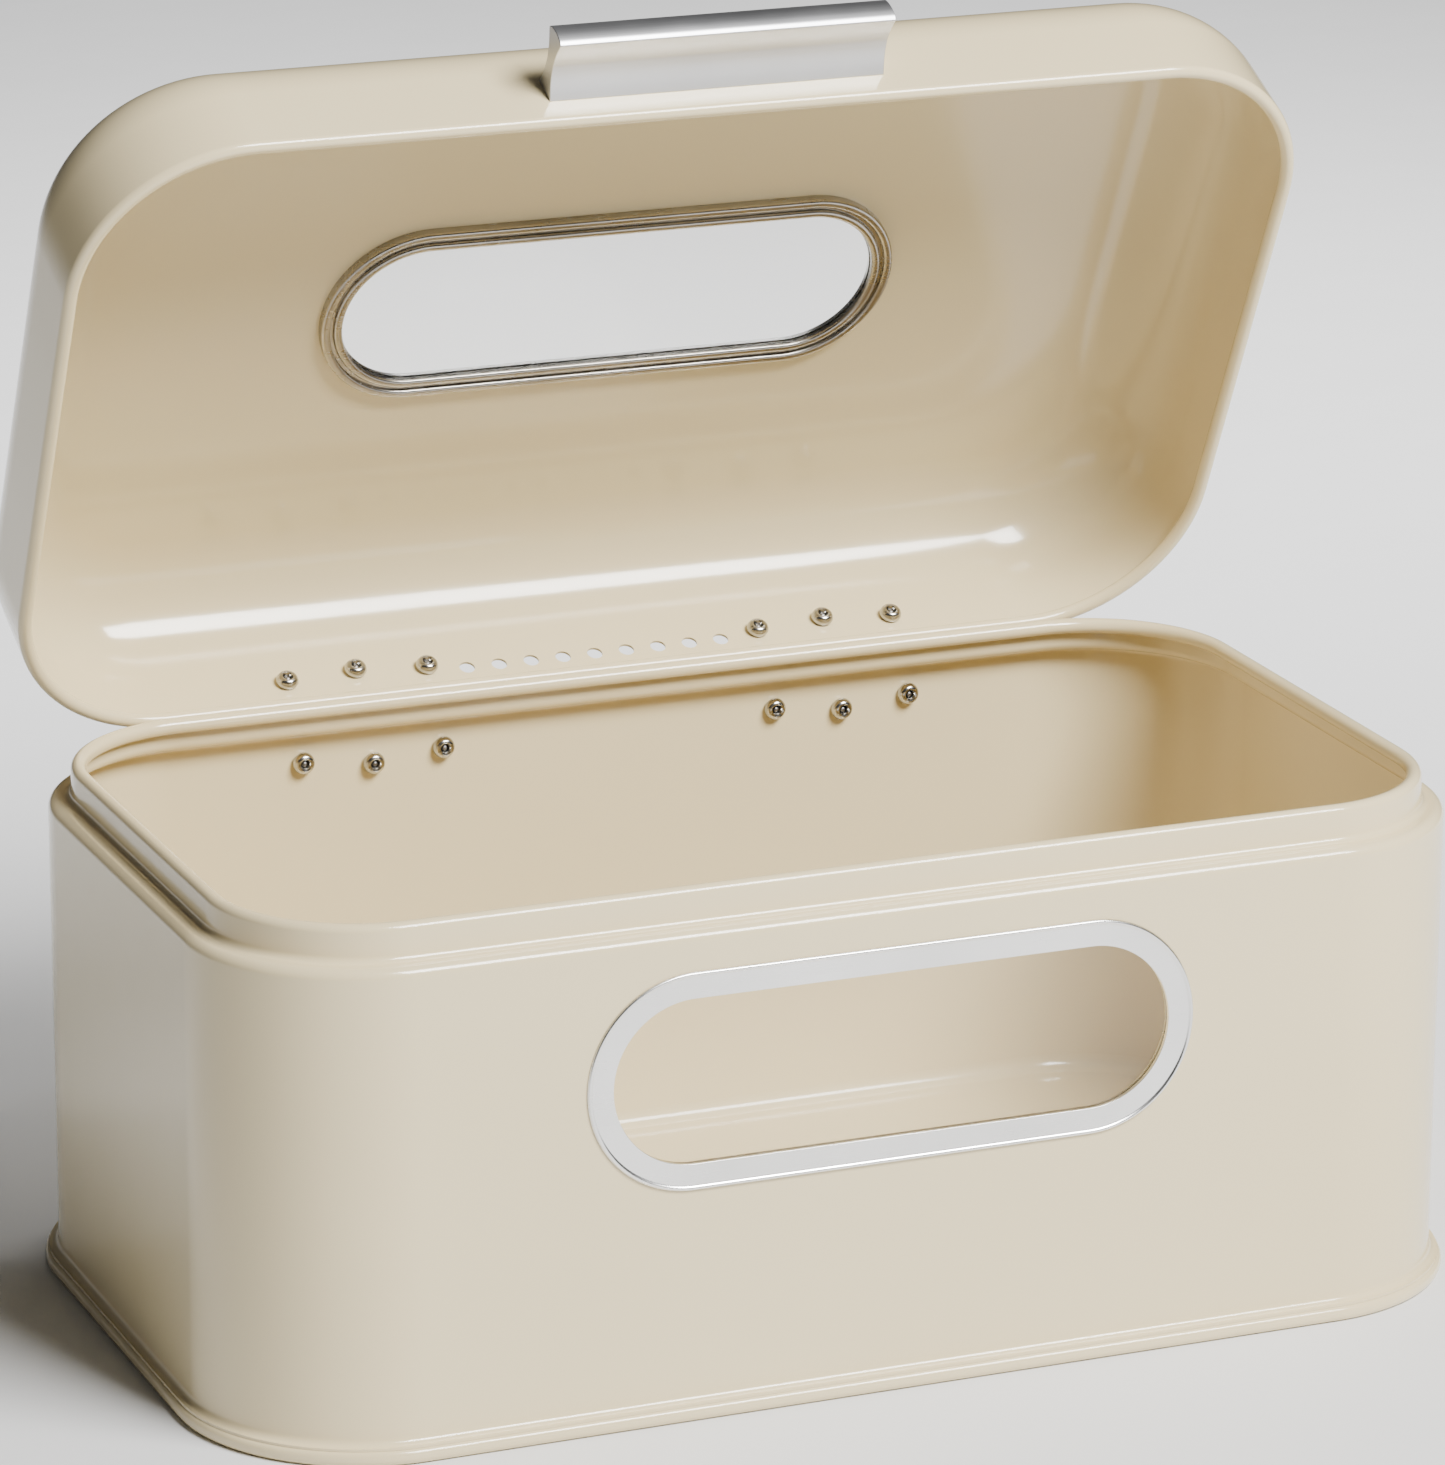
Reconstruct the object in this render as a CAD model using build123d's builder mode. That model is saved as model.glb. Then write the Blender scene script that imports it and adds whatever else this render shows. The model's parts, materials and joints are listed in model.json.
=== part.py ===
from build123d import *

import os

# Bread box of enamelled sheet steel with a hinged lid, in millimetres.
# The origin is the middle of the base on the surface it stands on, +Z is up, the front faces -Y.
# The lid is made closed on the box and then turned open about its hinge pins.

# Driving dimensions
box_length = 420.0
box_depth = 240.0
corner_radius = 56.2
sheet = 0.8
shoulder_height = 157.5
rim_height = 169.0
neck_inset = 7.4
lid_height = 57.5
lid_edge_radius = 32.0
lid_gap = 0.8
open_angle = 64.2

# Beads and hems
rim_bead_radius = 2.55
shoulder_radius = 3.5
neck_radius = 2.4
seam_reach = 4.3
seam_height = 5.0
seam_bottom_radius = 2.4
seam_top_radius = 1.9
seam_clearance = 0.1
flange_reach = 3.0
flare_radius = 2.4
floor_height = 3.2
floor_step = 3.2
floor_lap = 3.0
lid_bead_radius = 2.3

# Windows, one in the front wall and one in the lid
window_length = 185.4
window_height = 53.2
window_flange = 8.5
window_flange_thickness = 1.0
window_lip = 0.8
window_clearance = 0.1
window_rim_radius = 0.45
window_height_on_wall = 109.8
pane_thickness = 1.2
pane_lap = 4.3
backing_bead = 3.1
backing_web = 0.8
backing_rise = 2.2
backing_crest_radius = 1.2
backing_clearance = 0.2
web_overlap = 0.5

# Handle
handle_length = 113.0
handle_base = 10.8
handle_reach = 21.6
handle_crown = 1.6
handle_waist = 2.2
handle_waist_reach = 10.4
handle_waist_radius = 9.0
handle_edge_radius = 0.9
handle_centre_rise = 15.0
screw_spacing = 80.0
screw_radius = 1.45
screw_depth = 6.0
screw_tip_room = 0.5
screw_head_height = 1.8
screw_head_edge = 0.8
recess_length = 2.8
recess_width = 0.7
recess_depth = 0.9

# Hinges
hinge_centre_x = 84.0
leaf_width = 62.0
leaf_thickness = 1.2
leaf_margin = 8.5
leaf_corner = 5.0
knuckle_radius = 3.4
knuckle_offset = 3.6
pin_rise = 0.6
pin_radius = 1.8
pin_clearance = 0.05
pin_end_play = 0.2
pin_head_radius = 2.7
pin_head_length = 1.4
pin_head_edge = 0.9
knuckle_length = 15.0
knuckle_gap = 0.3
rivet_pitch = 24.5
rivet_radius = 1.6
rivet_head_radius = 3.2
rivet_head_height = 1.1
rivet_tail_radius = 3.3
rivet_tail_length = 3.2
rivet_seat = 0.4
rivet_foot = 0.9
mandrel_radius = 1.0
mandrel_head_radius = 1.6
mandrel_cap = 1.1
body_rivet_drop = 12.8
body_rivet_stagger = -2.7
lid_rivet_rise = 13.7
lid_rivet_stagger = 2.0

# Vent holes in the lid's back wall
vent_count = 9
vent_pitch = 11.4
vent_radius = 2.65
vent_rise = 12.6

# Derived places
half_length = box_length / 2
cut_margin = window_lip + window_clearance
pane_edge = pane_lap + window_clearance
backing_edge = pane_edge + backing_bead
inner_bead_edge = backing_clearance + backing_bead
web_outer = pane_edge + web_overlap
web_inner = backing_bead - web_overlap
half_depth = box_depth / 2
lid_bottom = shoulder_height + lid_gap
lid_top = lid_bottom + lid_height
hinge_y = half_depth + knuckle_offset
hinge_height = lid_bottom + pin_rise
hinge_axis = Axis((0, hinge_y, hinge_height), (1, 0, 0))
front_face = Plane.XZ.offset(half_depth)
front_inner_face = Plane.XZ.offset(half_depth - sheet)
back_face = Plane.XZ.offset(-half_depth)

os.makedirs("parts", exist_ok=True)


def finish(builder, label):
    """Label one finished piece and write its STEP file."""
    builder.part.label = label
    export_step(builder.part, f"parts/{label}.step")


def finish_on_lid(builder, label):
    """Turn one piece of the closed lid open about the hinge pins and write its STEP file."""
    opened = builder.part.rotate(hinge_axis, -open_angle)
    opened.label = label
    export_step(opened, f"parts/{label}.step")


def wall_loop():
    """The outer outline of the walls, a rounded rectangle that starts at the middle of the front."""
    with BuildLine() as loop:
        side = Line((0, -half_depth), (corner_radius - half_length, -half_depth))
        for run in (box_depth, box_length, box_depth):
            bend = JernArc(side @ 1, side % 1, corner_radius, -90)
            side = Line(bend @ 1, bend @ 1 + (bend % 1) * (run - 2 * corner_radius))
        bend = JernArc(side @ 1, side % 1, corner_radius, -90)
        Line(bend @ 1, (0, -half_depth))
    return loop.wire()


# Section plane of a swept wall: X is outward from the wall's face, Y is height.
wall_section = Plane(origin=(0, -half_depth, 0), x_dir=(0, -1, 0), z_dir=(-1, 0, 0))


# Body shell: base flange, wall, shoulder, neck and rolled rim from one strip of sheet
bead_centre = rim_height - rim_bead_radius
with BuildPart() as body_shell:
    with BuildSketch(wall_section) as strip:
        with BuildLine() as strip_line:
            flange = Line((flange_reach, seam_height + sheet), (flare_radius, seam_height + sheet))
            flare = RadiusArc(flange @ 1, (0, seam_height + sheet + flare_radius), flare_radius)
            wall = Line(flare @ 1, (0, shoulder_height - shoulder_radius))
            shoulder = JernArc(wall @ 1, (0, 1), shoulder_radius, 90)
            shelf = Line(shoulder @ 1, (neck_radius - neck_inset, shoulder_height))
            neck_foot = JernArc(shelf @ 1, (-1, 0), neck_radius, -90)
            neck = Line(neck_foot @ 1, (-neck_inset, bead_centre))
            curl = JernArc(neck @ 1, (0, 1), rim_bead_radius, 270)
            offset(amount=sheet, side=Side.LEFT)
        make_face()
    sweep(path=wall_loop())
    with BuildSketch(front_face) as front_cut:
        with Locations((0, window_height_on_wall)):
            SlotOverall(window_length + 2 * cut_margin, window_height + 2 * cut_margin)
    extrude(amount=-2 * sheet, mode=Mode.SUBTRACT)
    with BuildSketch(back_face) as rivet_cut:
        for side in (-1, 1):
            for step in (-1, 0, 1):
                drop = body_rivet_drop - (body_rivet_stagger if step == 0 else 0)
                with Locations((side * hinge_centre_x + step * rivet_pitch, hinge_height - drop)):
                    Circle(rivet_radius + pin_clearance)
    extrude(amount=2 * sheet, mode=Mode.SUBTRACT)
finish(body_shell, "body_shell")


# Base pan: raised floor and the seam bead that the box stands on
with BuildPart() as base_pan:
    with BuildSketch(wall_section) as seam:
        with BuildLine() as seam_line:
            foot = Polyline(
                (-sheet - floor_step, floor_height - sheet),
                (-sheet, 0),
                (seam_reach - seam_bottom_radius, 0),
            )
            lower = JernArc(foot @ 1, (1, 0), seam_bottom_radius, 90)
            face = Line(lower @ 1, (seam_reach, seam_height - seam_top_radius))
            upper = JernArc(face @ 1, (0, 1), seam_top_radius, 90)
            Polyline(
                upper @ 1,
                (-sheet - seam_clearance, seam_height),
                (-sheet - seam_clearance, floor_height),
                (-sheet - 3.2, floor_height),
                foot @ 0,
            )
        make_face()
    sweep(path=wall_loop())
    with BuildSketch(Plane.XY.offset(floor_height - sheet)) as floor_outline:
        RectangleRounded(box_length - 2 * floor_lap, box_depth - 2 * floor_lap, corner_radius - floor_lap)
    extrude(amount=sheet)
finish(base_pan, "base_pan")


def window_frame(face):
    """Frame ring on an outer face: flat flange with a rolled outer edge and a lip through the sheet."""
    with BuildPart() as frame_ring:
        with BuildSketch(face) as flange_outline:
            SlotOverall(window_length + 2 * window_flange, window_height + 2 * window_flange)
            SlotOverall(window_length, window_height, mode=Mode.SUBTRACT)
        extrude(amount=window_flange_thickness)
        rims = frame_ring.faces().sort_by(Axis(face.origin, face.z_dir))[-1].edges()
        fillet(rims, window_rim_radius)
        with BuildSketch(face) as lip_outline:
            SlotOverall(window_length + 2 * window_lip, window_height + 2 * window_lip)
            SlotOverall(window_length, window_height, mode=Mode.SUBTRACT)
        extrude(amount=-sheet)
    return frame_ring


def window_pane(face):
    """Clear pane that lies against the inner face of the sheet."""
    with BuildPart() as pane:
        with BuildSketch(face.offset(-sheet)) as pane_outline:
            SlotOverall(window_length + 2 * pane_lap, window_height + 2 * pane_lap)
        extrude(amount=-pane_thickness)
    return pane


def window_backing(face):
    """Ring inside the sheet with two beads: one on the sheet beside the pane, one on the pane's edge."""
    with BuildPart() as backing:
        with BuildSketch(face.offset(-sheet)) as outer_outline:
            SlotOverall(window_length + 2 * backing_edge, window_height + 2 * backing_edge)
            SlotOverall(window_length + 2 * pane_edge, window_height + 2 * pane_edge, mode=Mode.SUBTRACT)
        extrude(amount=-pane_thickness - backing_rise)
        with BuildSketch(face.offset(-sheet - pane_thickness)) as inner_outline:
            SlotOverall(window_length + 2 * inner_bead_edge, window_height + 2 * inner_bead_edge)
            SlotOverall(
                window_length + 2 * backing_clearance,
                window_height + 2 * backing_clearance,
                mode=Mode.SUBTRACT,
            )
        extrude(amount=-backing_rise)
        crests = backing.faces().sort_by(Axis(face.origin, face.z_dir))[:2]
        fillet(crests.edges(), backing_crest_radius)
        with BuildSketch(face.offset(-sheet - pane_thickness)) as web_outline:
            SlotOverall(window_length + 2 * web_outer, window_height + 2 * web_outer)
            SlotOverall(window_length + 2 * web_inner, window_height + 2 * web_inner, mode=Mode.SUBTRACT)
        extrude(amount=-backing_web)
    return backing


front_window = Plane(
    origin=(0, -half_depth, window_height_on_wall), x_dir=(1, 0, 0), z_dir=(0, -1, 0)
)
lid_window = Plane(origin=(0, 0, lid_top), x_dir=(1, 0, 0), z_dir=(0, 0, 1))
finish(window_frame(front_window), "front_window_frame")
finish(window_pane(front_window), "front_window_pane")
finish(window_backing(front_window), "front_window_backing_ring")
finish_on_lid(window_frame(lid_window), "lid_window_frame")
finish_on_lid(window_pane(lid_window), "lid_window_pane")
finish_on_lid(window_backing(lid_window), "lid_window_backing_ring")


# Lid shell: deep pressing with a large edge radius, a rolled rim, its window, vents and fixing holes
with BuildPart() as lid_shell:
    with BuildSketch(Plane.XY.offset(lid_bottom + lid_bead_radius)) as lid_outline:
        RectangleRounded(box_length, box_depth, corner_radius)
    extrude(amount=lid_height - lid_bead_radius)
    fillet(lid_shell.faces().sort_by(Axis.Z)[-1].edges(), lid_edge_radius)
    offset(amount=-sheet, openings=lid_shell.faces().sort_by(Axis.Z)[0])
    with BuildSketch(wall_section) as hem:
        with BuildLine() as hem_line:
            JernArc((0, lid_bottom + lid_bead_radius), (0, -1), lid_bead_radius, -270)
            offset(amount=sheet, side=Side.RIGHT)
        make_face()
    sweep(path=wall_loop())
    with BuildSketch(lid_window) as lid_cut:
        SlotOverall(window_length + 2 * cut_margin, window_height + 2 * cut_margin)
    extrude(amount=-2 * sheet, mode=Mode.SUBTRACT)
    with BuildSketch(back_face) as back_cut:
        with Locations((0, lid_bottom + vent_rise)):
            with GridLocations(vent_pitch, 1, vent_count, 1):
                Circle(vent_radius)
        for side in (-1, 1):
            for step in (-1, 0, 1):
                rise = lid_rivet_rise + (lid_rivet_stagger if step == 0 else 0)
                with Locations((side * hinge_centre_x + step * rivet_pitch, hinge_height + rise)):
                    Circle(rivet_radius + pin_clearance)
    extrude(amount=2 * sheet, mode=Mode.SUBTRACT)
    with BuildSketch(front_face) as screw_cut:
        with Locations((0, lid_bottom + handle_centre_rise)):
            with GridLocations(screw_spacing, 1, 2, 1):
                Circle(screw_radius + 0.25)
    extrude(amount=-2 * sheet, mode=Mode.SUBTRACT)
finish_on_lid(lid_shell, "lid_shell")


# Handle: extruded section with a wide foot, a thin waist and a crowned grip
handle_z = lid_bottom + handle_centre_rise
with BuildPart() as lid_handle:
    with BuildSketch(Plane.YZ) as handle_section:
        with BuildLine() as handle_line:
            for side in (-1, 1):
                Polyline(
                    (-half_depth, handle_z + side * handle_base / 2),
                    (-half_depth - handle_waist_reach, handle_z + side * handle_waist / 2),
                    (-half_depth - handle_reach, handle_z + side * handle_base / 2),
                )
            ThreePointArc(
                (-half_depth - handle_reach, handle_z - handle_base / 2),
                (-half_depth - handle_reach - handle_crown, handle_z),
                (-half_depth - handle_reach, handle_z + handle_base / 2),
            )
            Line((-half_depth, handle_z - handle_base / 2), (-half_depth, handle_z + handle_base / 2))
        make_face()
        waist = handle_section.vertices().filter_by_position(
            Axis.Y, -half_depth - handle_waist_reach - 1, -half_depth - handle_waist_reach + 1
        )
        fillet(waist, handle_waist_radius)
        grip = handle_section.vertices().group_by(Axis.Y)[0]
        fillet(grip, handle_edge_radius)
    extrude(amount=handle_length / 2, both=True)
    with BuildSketch(front_face) as pilot_cut:
        with Locations((0, handle_z)):
            with GridLocations(screw_spacing, 1, 2, 1):
                Circle(screw_radius + pin_clearance)
    extrude(amount=screw_depth + screw_tip_room, mode=Mode.SUBTRACT)
finish_on_lid(lid_handle, "lid_handle")


# Handle screws: two pan heads inside the lid, shanks into the handle's foot
with BuildPart() as lid_handle_screws:
    with BuildSketch(front_inner_face) as shank_outline:
        with Locations((0, handle_z)):
            with GridLocations(screw_spacing, 1, 2, 1):
                Circle(screw_radius)
    extrude(amount=sheet + screw_depth)
    with BuildSketch(front_inner_face) as head_outline:
        with Locations((0, handle_z)):
            with GridLocations(screw_spacing, 1, 2, 1):
                Circle(2 * screw_radius)
    extrude(amount=-screw_head_height)
    fillet(lid_handle_screws.faces().sort_by(Axis.Y)[-2:].edges(), screw_head_edge)
    with BuildSketch(front_inner_face.offset(-screw_head_height)) as drive_outline:
        with Locations((0, handle_z)):
            with GridLocations(screw_spacing, 1, 2, 1):
                Rectangle(recess_length, recess_width)
                Rectangle(recess_width, recess_length)
    extrude(amount=recess_depth, mode=Mode.SUBTRACT)
finish_on_lid(lid_handle_screws, "lid_handle_screws")


def hinge_leaf(centre_x, direction, knuckle_spans, rivet_offset, stagger):
    """One hinge leaf on the back face. direction is -1 below the pin and 1 above it."""
    plate_start = knuckle_radius + knuckle_gap
    plate_end = rivet_offset + leaf_margin
    plate_height = plate_end - plate_start
    plate_middle = hinge_height + direction * (plate_start + plate_height / 2)
    with BuildPart() as leaf:
        with BuildSketch(back_face) as plate_outline:
            with Locations((centre_x, plate_middle)):
                Rectangle(leaf_width, plate_height)
            free_corners = plate_outline.vertices().group_by(Axis.Z)[0 if direction < 0 else -1]
            fillet(free_corners, leaf_corner)
            for step in (-1, 0, 1):
                height = direction * rivet_offset + (stagger if step == 0 else 0)
                with Locations((centre_x + step * rivet_pitch, hinge_height + height)):
                    Circle(rivet_radius + pin_clearance, mode=Mode.SUBTRACT)
        extrude(amount=-leaf_thickness)
        for start, length in knuckle_spans:
            with BuildSketch(Plane.YZ.offset(centre_x + start)) as knuckle_outline:
                with Locations((hinge_y, hinge_height)):
                    Circle(knuckle_radius)
                with Locations((half_depth + leaf_thickness / 2, hinge_height + direction * plate_start / 2)):
                    Rectangle(leaf_thickness, plate_start)
                with Locations((hinge_y, hinge_height)):
                    Circle(pin_radius + pin_clearance, mode=Mode.SUBTRACT)
            extrude(amount=length)
    return leaf


def hinge_pin(centre_x):
    """Headed pin through the knuckles of one hinge."""
    with BuildPart() as pin:
        with BuildSketch(Plane.YZ.offset(centre_x - leaf_width / 2 - pin_end_play)) as pin_outline:
            with Locations((hinge_y, hinge_height)):
                Circle(pin_radius)
        extrude(amount=leaf_width + 2 * pin_end_play)
        for start in (-leaf_width / 2 - pin_end_play - pin_head_length, leaf_width / 2 + pin_end_play):
            with BuildSketch(Plane.YZ.offset(centre_x + start)) as head_outline:
                with Locations((hinge_y, hinge_height)):
                    Circle(pin_head_radius)
            extrude(amount=pin_head_length)
        ends = pin.faces().filter_by(Axis.X)
        fillet([ends.sort_by(Axis.X)[0].edges()[0], ends.sort_by(Axis.X)[-1].edges()[0]], pin_head_edge)
    return pin


def rivet_rows(centre_x, offset_from_pin, stagger):
    """Centres of the three rivets of one leaf, as (x, z)."""
    for step in (-1, 0, 1):
        yield centre_x + step * rivet_pitch, hinge_height + offset_from_pin + (stagger if step == 0 else 0)


def rivets(centre_x, offset_from_pin, stagger):
    """Three blind rivets: domed head on the leaf, formed tail inside the sheet, bore for the mandrel."""
    head_face = half_depth + leaf_thickness
    tail_face = half_depth - sheet
    with BuildPart() as group:
        for x, z in rivet_rows(centre_x, offset_from_pin, stagger):
            with BuildSketch(Plane(origin=(x, 0, z), x_dir=(1, 0, 0), z_dir=(0, 0, 1))) as section:
                with BuildLine() as outline:
                    head = Line((rivet_radius, head_face), (rivet_head_radius, head_face))
                    dome = ThreePointArc(
                        head @ 1,
                        (0.75 * rivet_head_radius, head_face + 0.65 * rivet_head_height),
                        (mandrel_radius, head_face + rivet_head_height),
                    )
                    bore = Line(dome @ 1, (mandrel_radius, tail_face - rivet_tail_length))
                    seat = Line(bore @ 1, (mandrel_head_radius + rivet_seat, tail_face - rivet_tail_length))
                    bulb = ThreePointArc(
                        seat @ 1,
                        (rivet_tail_radius, tail_face - 0.45 * rivet_tail_length),
                        (rivet_radius + rivet_foot, tail_face),
                    )
                    Polyline(bulb @ 1, (rivet_radius, tail_face), head @ 0)
                make_face()
            revolve(axis=Axis((x, 0, z), (0, 1, 0)))
    return group


def mandrels(centre_x, offset_from_pin, stagger):
    """The mandrel stub left in each rivet, with its round head seated in the formed tail."""
    head_face = half_depth + leaf_thickness
    tail_end = half_depth - sheet - rivet_tail_length
    with BuildPart() as group:
        for x, z in rivet_rows(centre_x, offset_from_pin, stagger):
            with BuildSketch(Plane(origin=(x, 0, z), x_dir=(1, 0, 0), z_dir=(0, 0, 1))) as section:
                with BuildLine() as outline:
                    cap = RadiusArc(
                        (0, tail_end - mandrel_cap), (mandrel_head_radius, tail_end), -mandrel_head_radius
                    )
                    Polyline(
                        cap @ 1,
                        (mandrel_radius, tail_end),
                        (mandrel_radius, head_face),
                        (0, head_face),
                        cap @ 0,
                    )
                make_face()
            revolve(axis=Axis((x, 0, z), (0, 1, 0)))
    return group


outer_knuckles = (
    (-leaf_width / 2, knuckle_length),
    (leaf_width / 2 - knuckle_length, knuckle_length),
)
middle_knuckle = (
    (-leaf_width / 2 + knuckle_length + knuckle_gap, leaf_width - 2 * (knuckle_length + knuckle_gap)),
)
for name, centre in (("left", -hinge_centre_x), ("right", hinge_centre_x)):
    body_row = (centre, -body_rivet_drop, body_rivet_stagger)
    lid_row = (centre, lid_rivet_rise, lid_rivet_stagger)
    body_leaf = hinge_leaf(centre, -1, outer_knuckles, body_rivet_drop, body_rivet_stagger)
    finish(body_leaf, f"{name}_hinge_body_leaf")
    finish(hinge_pin(centre), f"{name}_hinge_pin")
    finish(rivets(*body_row), f"{name}_body_rivets")
    finish(mandrels(*body_row), f"{name}_body_rivet_mandrels")
    lid_leaf = hinge_leaf(centre, 1, middle_knuckle, lid_rivet_rise, lid_rivet_stagger)
    finish_on_lid(lid_leaf, f"{name}_hinge_lid_leaf")
    finish_on_lid(rivets(*lid_row), f"{name}_lid_rivets")
    finish_on_lid(mandrels(*lid_row), f"{name}_lid_rivet_mandrels")
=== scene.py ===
"""Bread box with a hinged lid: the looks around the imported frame, in metres."""

import json
import logging
import math
from dataclasses import dataclass, field
from enum import Enum
from typing import Callable, Iterable, Sequence

import bmesh
import bpy
from bmesh.types import BMesh
from bpy.types import ID, Material, Mesh, Node, NodeSocket, NodeTree, Object
from mathutils import Matrix, Vector


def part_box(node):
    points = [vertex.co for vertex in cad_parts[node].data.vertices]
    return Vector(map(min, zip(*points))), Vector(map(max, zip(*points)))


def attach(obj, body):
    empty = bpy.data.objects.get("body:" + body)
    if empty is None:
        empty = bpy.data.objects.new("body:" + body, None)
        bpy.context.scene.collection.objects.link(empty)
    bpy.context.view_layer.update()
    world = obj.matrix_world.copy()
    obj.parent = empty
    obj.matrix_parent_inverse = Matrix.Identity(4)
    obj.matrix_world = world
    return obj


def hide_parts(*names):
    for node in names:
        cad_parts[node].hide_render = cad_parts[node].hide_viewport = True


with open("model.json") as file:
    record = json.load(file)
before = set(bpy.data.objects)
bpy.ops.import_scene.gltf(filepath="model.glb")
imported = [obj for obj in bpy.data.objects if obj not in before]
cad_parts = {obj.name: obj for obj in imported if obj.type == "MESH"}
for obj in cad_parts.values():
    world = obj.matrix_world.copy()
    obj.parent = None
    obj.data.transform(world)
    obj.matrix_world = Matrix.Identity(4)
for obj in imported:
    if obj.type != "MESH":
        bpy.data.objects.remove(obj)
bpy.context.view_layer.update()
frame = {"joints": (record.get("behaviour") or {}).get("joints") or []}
LOG = logging.getLogger("bread_box")

Point = tuple[float, float]
Spot = tuple[float, float, float]
Colour = tuple[float, float, float]
Sockets = bpy.types.bpy_prop_collection

MM = 0.001
UNIT = (0.0, 1.0)
WINDOW_CUT = (187.2 * MM, 55.0 * MM)
CUTTER_REACH = 5.0 * MM
WELD_DISTANCE = 2e-6
SHARP_ANGLE = math.radians(32.0)
BEVEL_ANGLE = math.radians(40.0)
BEVEL_SEGMENTS = 3
NORMAL_WEIGHT = 80

# Ranges of noise or curvature that become a mask from 0 to 1.
MOTTLE_SPAN = (0.3, 0.7)
SPECKLE_SPAN = (0.66, 0.74)
SMUDGE_SPAN = (0.45, 0.75)
SMUDGE_STRETCH = (14.0, 30.0, 46.0)
RIDGE_SPAN = (0.53, 0.62)
CHIP_SPAN = (0.42, 0.62)

# Sections in millimetres, as (outward or radius, height) from the edge or seat where each starts.
# FRAME_ROLL is a row of bends instead, as (radius, degrees).
FRAME_ROLL = ((0.6, 50), (0.7, -100), (0.5, -40))
FRAME_EDGE = ((0.0, 0.35), (-0.15, 0.22), (-0.6, 0.15), (-0.6, 0.0))
HANDLE_NOSE = ((-0.05, -0.12), (0.3, -0.6))
SCREW = (
    (0.0, 1.2), (0.35, 1.25), (0.6, 1.8), (2.03, 1.72), (2.61, 1.4), (2.9, 0.9), (2.9, 0.0),
    (1.45, 0.0), (1.45, -6.2), (0.0, -6.8),
)
PIN_HEAD = ((0.0, -1.4), (1.6, -1.35), (2.3, -1.0), (2.7, -0.5), (2.7, 0.0), (1.8, 0.0))
RIVET_HEAD = ((1.6, 0.0), (3.2, 0.0), (3.15, 0.3), (2.6, 0.68), (1.9, 0.95), (1.35, 1.08), (1.0, 1.1))
RIVET_TAIL = (
    (1.0, 1.1), (1.3, 0.6), (1.5, 0.1), (1.75, -0.3), (2.2, -0.45), (2.75, -0.3), (3.2, 0.15),
    (3.6, 0.95), (3.75, 1.8), (3.5, 2.5), (3.0, 3.2), (1.6, 3.2),
)
STUB_TIP = ((0.0, 0.2), (0.45, 0.26), (0.8, 0.5), (0.95, 0.9))
STUB_ROOT = ((0.95, 0.2), (0.0, 0.1))


class Body(Enum):
    """The CAD bodies that pieces ride on."""

    BOX = "box"
    LID = "lid"


class Side(Enum):
    """The two hinges, by where they sit along X."""

    LEFT = -1
    RIGHT = 1


# ---- nodes


class NodeMaker:
    """Adds, sets and links nodes in a shader tree or a geometry tree."""

    def __init__(self, tree: NodeTree) -> None:
        """Keep the tree that nodes go into.

        Args:
            tree: A material's or a group's node tree.
        """
        self.tree = tree

    def feed(self, node: Node, values: dict[str | int, object]) -> None:
        """Fill a node's inputs.

        Args:
            node: The node.
            values: Input names or numbers, and their values or the sockets that feed them.
        """
        for name, value in values.items():
            if isinstance(value, NodeSocket):
                self.tree.links.new(value, node.inputs[name])
            else:
                node.inputs[name].default_value = value

    def add(self, kind: str, values: dict[str | int, object] | None = None, **settings: object) -> Node:
        """Add one node.

        Args:
            kind: The node's type name.
            values: What feeds its inputs.
            **settings: Attributes set on the node itself.

        Returns:
            The new node.
        """
        node = self.tree.nodes.new(kind)
        for name, value in settings.items():
            setattr(node, name, value)
        self.feed(node, values or {})
        return node

    def group(self, group: NodeTree, values: dict[str, float]) -> Sockets:
        """Place a shared group with its own values and return its outputs."""
        return self.add("ShaderNodeGroup", values, node_tree=group).outputs

    def place(self) -> NodeSocket:
        """Add object coordinates and return their socket."""
        return self.add("ShaderNodeTexCoord").outputs["Object"]

    def math(self, operation: str, first: object, second: object) -> NodeSocket:
        """Add a Math node and return its result socket."""
        return self.add("ShaderNodeMath", {0: first, 1: second}, operation=operation).outputs[0]

    def remap(self, value: object, span: Point, onto: Point = UNIT) -> NodeSocket:
        """Map a value from one range onto another, clamped, and return the result socket."""
        ends = {"From Min": span[0], "From Max": span[1], "To Min": onto[0], "To Max": onto[1]}
        return self.add("ShaderNodeMapRange", {"Value": value, **ends}).outputs["Result"]

    def noise(self, place: object, scale: object, detail: float, roughness: float = 0.5) -> NodeSocket:
        """Add a Noise texture and return its value socket."""
        values = {"Vector": place, "Scale": scale, "Detail": detail, "Roughness": roughness}
        return self.add("ShaderNodeTexNoise", values).outputs["Fac"]

    def bump(self, height: object, depth: float, **values: object) -> NodeSocket:
        """Add a Bump node of a given depth and return its normal socket."""
        values |= {"Height": height, "Strength": 1.0, "Distance": depth}
        return self.add("ShaderNodeBump", values).outputs[0]


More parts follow.
